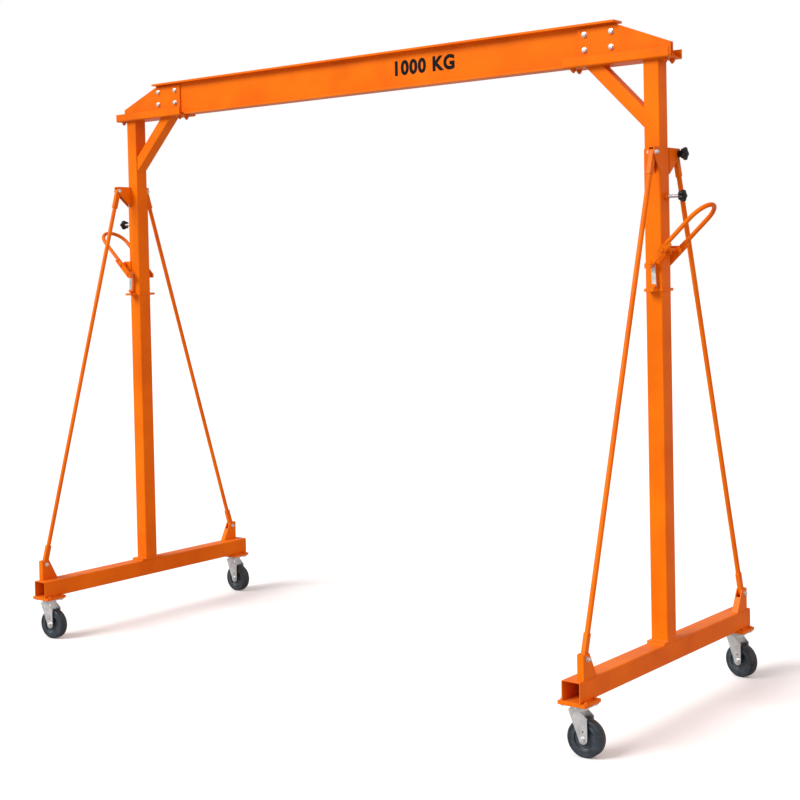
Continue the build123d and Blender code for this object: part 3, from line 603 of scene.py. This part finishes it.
# Half widths of the tubes and plates, and the heights and spans of their beads
OUTER_HALF = 0.0325
OUTER_RUN = 0.029
FOOT_TOP = 0.260
FOOT_EDGE_Y = 0.059
FOOT_RUN = 0.033
BASE_TOP = 0.252
BASE_HALF = 0.035
PAD_SPAN = (0.518, 0.612)
LOWER_CHEEK_SPAN = (0.513, 0.588)
UPPER_CHEEK_SPAN = (1.890, 1.973)
EAR_X = 0.020
EAR_SPAN = (1.602, 1.635)
MAST_BEAD = 0.0026
FOOT_BEAD = 0.0028
BRACKET_BEAD = 0.0022
for name, side in (("left", -1), ("right", 1)):
    leg = bmesh.new()
    x = side * MAST_X
    for a in (-1, 1):
        y = a * OUTER_HALF
        wall = x + a * OUTER_HALF
        foot = a * FOOT_EDGE_Y
        weld_bead(leg, (x - OUTER_RUN, y, FOOT_TOP), (x + OUTER_RUN, y, FOOT_TOP), MAST_BEAD)
        weld_bead(leg, (wall, -OUTER_RUN, FOOT_TOP), (wall, OUTER_RUN, FOOT_TOP), MAST_BEAD)
        weld_bead(leg, (x - FOOT_RUN, foot, BASE_TOP), (x + FOOT_RUN, foot, BASE_TOP), FOOT_BEAD)
        for b in (-1, 1):
            edge = x + b * BASE_HALF
            near, far = (a * reach for reach in PAD_SPAN)
            weld_bead(leg, (edge, near, PAD_TOP), (edge, far, PAD_TOP), MAST_BEAD)
        for out in (INNER_CHEEK, OUTER_CHEEK):
            cheek = side * (MAST_X + out)
            near, far = (a * reach for reach in LOWER_CHEEK_SPAN)
            weld_bead(leg, (cheek, near, BASE_TOP), (cheek, far, BASE_TOP), BRACKET_BEAD)
        cheek = side * (MAST_X + INNER_CHEEK)
        low, high = UPPER_CHEEK_SPAN
        weld_bead(leg, (cheek, y, low), (cheek, y, high), BRACKET_BEAD)
        ear = side * (MAST_X + EAR_X)
        low, high = EAR_SPAN
        weld_bead(leg, (ear, y, low), (ear, y, high), BRACKET_BEAD)
    finished_piece(leg, name + "_leg_welds", name + "_leg", orange_coat)

INNER_HALF = 0.030
INNER_RUN = 0.027
KNEE_RUN = 0.022
# How far below the channel each side of a knee brace meets the mast, and how far in it meets the channel
KNEE_DROPS = (0.1642, 0.2349)
HEAD_BEAD = 0.0025
KNEE_BEAD = 0.0024
head = bmesh.new()
top = CHANNEL_BASE
for side in (-1, 1):
    x = side * MAST_X
    for a in (-1, 1):
        y = a * INNER_HALF
        wall = x + a * INNER_HALF
        weld_bead(head, (x - INNER_RUN, y, top), (x + INNER_RUN, y, top), HEAD_BEAD)
        weld_bead(head, (wall, -INNER_RUN, top), (wall, INNER_RUN, top), HEAD_BEAD)
    mast_face = side * (MAST_X - INNER_HALF)
    for drop in KNEE_DROPS:
        z = top - drop
        weld_bead(head, (mast_face, -KNEE_RUN, z), (mast_face, KNEE_RUN, z), KNEE_BEAD)
        knee = side * (MAST_X - INNER_HALF - drop)
        weld_bead(head, (knee, -KNEE_RUN, top), (knee, KNEE_RUN, top), KNEE_BEAD)
finished_piece(head, "head_welds", "upper_frame", orange_coat)


# ---------------------------------------------------------------- load marking
# A plain load figure is marked on the beam's web in black block letters. They are thin vinyl or
# stencil paint, almost flush with the coat.
MARK_HEIGHT = 0.054
CAPITAL_SHARE = 0.72
MARK_THICK = 0.0001
MARK_X = 0.337
MARK_Z = 2.366
WEB_FACE = -0.003
letters = bpy.data.curves.new("mark_letters", "FONT")
letters.body = "1000 KG"
letters.size = MARK_HEIGHT / CAPITAL_SHARE
letters.align_x = "CENTER"
letters.align_y = "CENTER"
letters.extrude = MARK_THICK
letters.offset = 0.0036
letters.space_character = 1.14
letter_object = bpy.data.objects.new("mark_letters", letters)
bpy.context.scene.collection.objects.link(letter_object)
bpy.context.view_layer.update()
mark = bmesh.new()
mark.from_mesh(letter_object.to_mesh())
bpy.data.objects.remove(letter_object)
upright = Matrix.Translation((MARK_X, WEB_FACE - MARK_THICK, MARK_Z))
upright @= Matrix.Rotation(math.pi / 2, 4, "X")
bmesh.ops.transform(mark, matrix=upright, verts=mark.verts)
stencil_black = moulded_plastic("stencil_black")
stencil_black.node_tree.nodes["Principled BSDF"].inputs["Specular IOR Level"].default_value = 0.08
finished_piece(mark, "load_mark", "upper_frame", stencil_black)


# ---------------------------------------------------------------- studio
# The crane stands on a plain pale floor in soft light. The main light is at the front left, with a
# weak warm one from the right. Floor and backdrop look white but throw back less light than that.
FLOOR_HALF = 60
KEY_FROM = (-0.35, -0.75, 0.60)
WARM_FROM = (0.93, -0.10, 0.35)
CAMERA_PLACE = (3.8345, -4.5408, 1.5772)
CAMERA_HEADING = 38.73
CAMERA_DIP = 1.62
CAMERA_ROLL = -1.20
floor_shape = bmesh.new()
bmesh.ops.create_grid(floor_shape, x_segments=1, y_segments=1, size=FLOOR_HALF)
floor_mesh = bpy.data.meshes.new("floor")
floor_shape.to_mesh(floor_mesh)
floor_shape.free()
floor = bpy.data.objects.new("floor", floor_mesh)
bpy.context.scene.collection.objects.link(floor)
floor_finish = bpy.data.materials.new("floor_finish")
floor_finish.use_nodes = True
floor_nodes, floor_links = floor_finish.node_tree.nodes, floor_finish.node_tree.links
floor_shader = floor_nodes["Principled BSDF"]
floor_shader.inputs["Roughness"].default_value = 0.8
floor_shader.inputs["Specular IOR Level"].default_value = 0.0
floor_shader.inputs["Base Color"].default_value = (0.93, 0.93, 0.93, 1)
floor_shader.inputs["Emission Color"].default_value = (1, 1, 1, 1)
floor_shader.inputs["Emission Strength"].default_value = 0.15
dull = floor_nodes.new("ShaderNodeBsdfDiffuse")
dull.inputs["Color"].default_value = (0.50, 0.48, 0.46, 1)
floor_view = floor_nodes.new("ShaderNodeLightPath")
floor_mix = floor_nodes.new("ShaderNodeMixShader")
floor_links.new(floor_view.outputs["Is Camera Ray"], floor_mix.inputs["Fac"])
floor_links.new(dull.outputs["BSDF"], floor_mix.inputs[1])
floor_links.new(floor_shader.outputs["BSDF"], floor_mix.inputs[2])
floor_links.new(floor_mix.outputs["Shader"], floor_nodes["Material Output"].inputs["Surface"])
floor_mesh.materials.append(floor_finish)
floor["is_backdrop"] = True

world = bpy.data.worlds.new("studio")
world.use_nodes = True
sky = world.node_tree.nodes
fill = sky["Background"]
fill.inputs["Color"].default_value = (1, 1, 1, 1)
fill.inputs["Strength"].default_value = 0.48
backdrop = sky.new("ShaderNodeBackground")
backdrop.inputs["Color"].default_value = (1, 1, 1, 1)
backdrop.inputs["Strength"].default_value = 1.0
seen = sky.new("ShaderNodeLightPath")
either = sky.new("ShaderNodeMixShader")
world.node_tree.links.new(seen.outputs["Is Camera Ray"], either.inputs["Fac"])
world.node_tree.links.new(fill.outputs["Background"], either.inputs[1])
world.node_tree.links.new(backdrop.outputs["Background"], either.inputs[2])
world.node_tree.links.new(either.outputs["Shader"], sky["World Output"].inputs["Surface"])
bpy.context.scene.world = world

key = bpy.data.lights.new("key", "SUN")
key.energy = 3.0
key.angle = math.radians(32)
key_object = bpy.data.objects.new("key", key)
key_object.rotation_euler = Vector(KEY_FROM).to_track_quat("Z", "Y").to_euler()
bpy.context.scene.collection.objects.link(key_object)

warm = bpy.data.lights.new("side", "SUN")
warm.energy = 0.85
warm.color = (1.0, 0.40, 0.24)
warm.angle = math.radians(60)
warm_object = bpy.data.objects.new("side", warm)
warm_object.rotation_euler = Vector(WARM_FROM).to_track_quat("Z", "Y").to_euler()
bpy.context.scene.collection.objects.link(warm_object)

camera = bpy.data.cameras.new("camera")
camera.sensor_width = 36
camera.lens = 65.75
camera.shift_y = -0.1125
camera.clip_end = 300
camera_object = bpy.data.objects.new("camera", camera)
view_turn = Matrix.Rotation(math.radians(CAMERA_HEADING), 4, "Z")
view_turn @= Matrix.Rotation(math.radians(90 - CAMERA_DIP), 4, "X")
view_turn @= Matrix.Rotation(math.radians(CAMERA_ROLL), 4, "Z")
camera_object.matrix_world = Matrix.Translation(CAMERA_PLACE) @ view_turn
bpy.context.scene.collection.objects.link(camera_object)
bpy.context.scene.camera = camera_object
bpy.context.scene.view_settings.view_transform = "Standard"

low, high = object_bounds()
